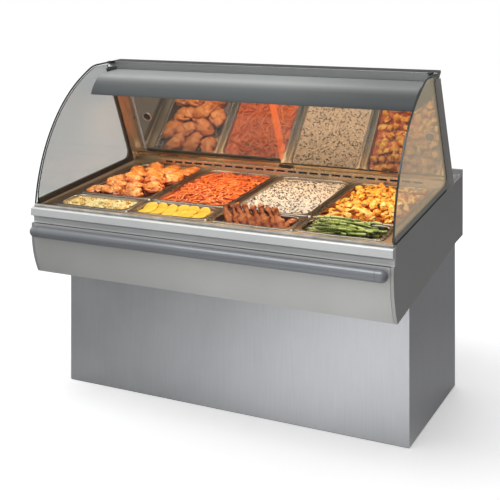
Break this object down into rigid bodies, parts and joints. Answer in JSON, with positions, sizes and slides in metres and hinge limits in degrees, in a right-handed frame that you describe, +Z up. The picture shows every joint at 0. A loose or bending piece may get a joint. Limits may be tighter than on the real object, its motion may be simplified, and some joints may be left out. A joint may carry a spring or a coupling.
{
  "type": "hot food display case",
  "caption": "Heated serve-over display case: curved lift-up front glass, lamp hood, sloping deck of lift-out pans, sliding mirror doors, closed pedestal.",
  "frame": {"origin": "middle of the footprint on the floor", "axes": "+X along the width to the customer's right, -Y towards the customer, +Z up"},
  "size_m": [1.45, 1.0302, 1.298],
  "materials": {
    "brushed_steel": "brushed",
    "dark_steel": "satin",
    "warm_satin": "satin",
    "pale_aluminium": "satin anodised",
    "blue_grey": "satin",
    "pan_steel": "polished",
    "clear_glass": "polished",
    "smoked_glass": "polished",
    "mirror_glass": "polished",
    "black_rubber": "matte",
    "grey_rubber": "matte",
    "black_plastic": "satin",
    "lamp_glass": "frosted"
  },
  "bodies": {
    "cabinet": {"pedestal_skirt": "brushed_steel", "pedestal_rear_panel": "brushed_steel", "rear_shelf": "brushed_steel", "rear_panel": "brushed_steel", "pedestal_frame": "dark_steel", "side_panel_left": "dark_steel", "side_panel_right": "dark_steel", "underside_panel": "dark_steel", "heater_element": "dark_steel", "hinge_bracket_left": "dark_steel", "hinge_bracket_right": "dark_steel", "front_fascia": "warm_satin", "hood_shell": "warm_satin", "front_sill": "pale_aluminium", "post_left": "pale_aluminium", "post_right": "pale_aluminium", "top_rail": "pale_aluminium", "door_track_bottom": "pale_aluminium", "door_track_top": "pale_aluminium", "bumper_rail": "blue_grey", "deck_frame": "pan_steel", "well_tub": "pan_steel", "divider_bar_1": "pan_steel", "divider_bar_2": "pan_steel", "divider_bar_3": "pan_steel", "cross_bar": "pan_steel", "rear_ledge": "pan_steel", "hood_tray": "pan_steel", "end_glass_left": "smoked_glass", "end_glass_right": "smoked_glass", "end_channel_left": "black_rubber", "end_channel_right": "black_rubber", "power_cable": "black_rubber", "front_glass_seal": "grey_rubber", "heat_lamp_1": "lamp_glass", "heat_lamp_2": "lamp_glass", "heat_lamp_3": "lamp_glass", "heat_lamp_4": "lamp_glass"},
    "front_glass": {"front_glass": "clear_glass", "glass_clamp_left": "black_plastic", "glass_clamp_right": "black_plastic"},
    "door_left": {"mirror_door_left": "mirror_glass", "door_shoe_left": "black_plastic", "door_pull_left": "dark_steel"},
    "door_right": {"mirror_door_right": "mirror_glass", "door_shoe_right": "black_plastic", "door_pull_right": "dark_steel"},
    "third_pan_1": {"third_pan_1": "pan_steel"},
    "third_pan_2": {"third_pan_2": "pan_steel"},
    "third_pan_3": {"third_pan_3": "pan_steel"},
    "third_pan_4": {"third_pan_4": "pan_steel"},
    "full_pan_1": {"full_pan_1": "pan_steel"},
    "full_pan_2": {"full_pan_2": "pan_steel"},
    "full_pan_3": {"full_pan_3": "pan_steel"},
    "full_pan_4": {"full_pan_4": "pan_steel"},
    "knob_lamp_heat": {"knob_lamp_heat": "black_plastic"},
    "knob_well_heat": {"knob_well_heat": "black_plastic"},
    "switch_power": {"switch_power": "black_plastic"},
    "switch_light": {"switch_light": "black_plastic"}
  },
  "joints": [
    {"name": "front_glass_lift", "type": "hinge", "parent": "cabinet", "child": "front_glass", "pos_m": [0, 0.11, 1.288], "axis": [-1, 0, 0], "range_deg": [0, 60]},
    {"name": "door_left_slide", "type": "slide", "parent": "cabinet", "child": "door_left", "axis": [1, 0, 0], "range_m": [0, 0.62]},
    {"name": "door_right_slide", "type": "slide", "parent": "cabinet", "child": "door_right", "axis": [-1, 0, 0], "range_m": [0, 0.62]},
    {"name": "third_pan_1_lift", "type": "slide", "parent": "cabinet", "child": "third_pan_1", "axis": [0, -0.0819, 0.9966], "range_m": [0, 0.08]},
    {"name": "third_pan_2_lift", "type": "slide", "parent": "cabinet", "child": "third_pan_2", "axis": [0, -0.0819, 0.9966], "range_m": [0, 0.08]},
    {"name": "third_pan_3_lift", "type": "slide", "parent": "cabinet", "child": "third_pan_3", "axis": [0, -0.0819, 0.9966], "range_m": [0, 0.08]},
    {"name": "third_pan_4_lift", "type": "slide", "parent": "cabinet", "child": "third_pan_4", "axis": [0, -0.0819, 0.9966], "range_m": [0, 0.08]},
    {"name": "full_pan_1_lift", "type": "slide", "parent": "cabinet", "child": "full_pan_1", "axis": [0, -0.0819, 0.9966], "range_m": [0, 0.08]},
    {"name": "full_pan_2_lift", "type": "slide", "parent": "cabinet", "child": "full_pan_2", "axis": [0, -0.0819, 0.9966], "range_m": [0, 0.08]},
    {"name": "full_pan_3_lift", "type": "slide", "parent": "cabinet", "child": "full_pan_3", "axis": [0, -0.0819, 0.9966], "range_m": [0, 0.08]},
    {"name": "full_pan_4_lift", "type": "slide", "parent": "cabinet", "child": "full_pan_4", "axis": [0, -0.0819, 0.9966], "range_m": [0, 0.08]},
    {"name": "knob_lamp_heat_turn", "type": "hinge", "parent": "cabinet", "child": "knob_lamp_heat", "pos_m": [0.47, 0.488, 0.727], "axis": [0, -1, 0], "range_deg": [0, 270]},
    {"name": "knob_well_heat_turn", "type": "hinge", "parent": "cabinet", "child": "knob_well_heat", "pos_m": [0.59, 0.488, 0.727], "axis": [0, -1, 0], "range_deg": [0, 270]},
    {"name": "switch_power_rock", "type": "hinge", "parent": "cabinet", "child": "switch_power", "pos_m": [0.25, 0.488, 0.727], "axis": [1, 0, 0], "range_deg": [0, 14]},
    {"name": "switch_light_rock", "type": "hinge", "parent": "cabinet", "child": "switch_light", "pos_m": [0.33, 0.488, 0.727], "axis": [1, 0, 0], "range_deg": [0, 14]}
  ]
}
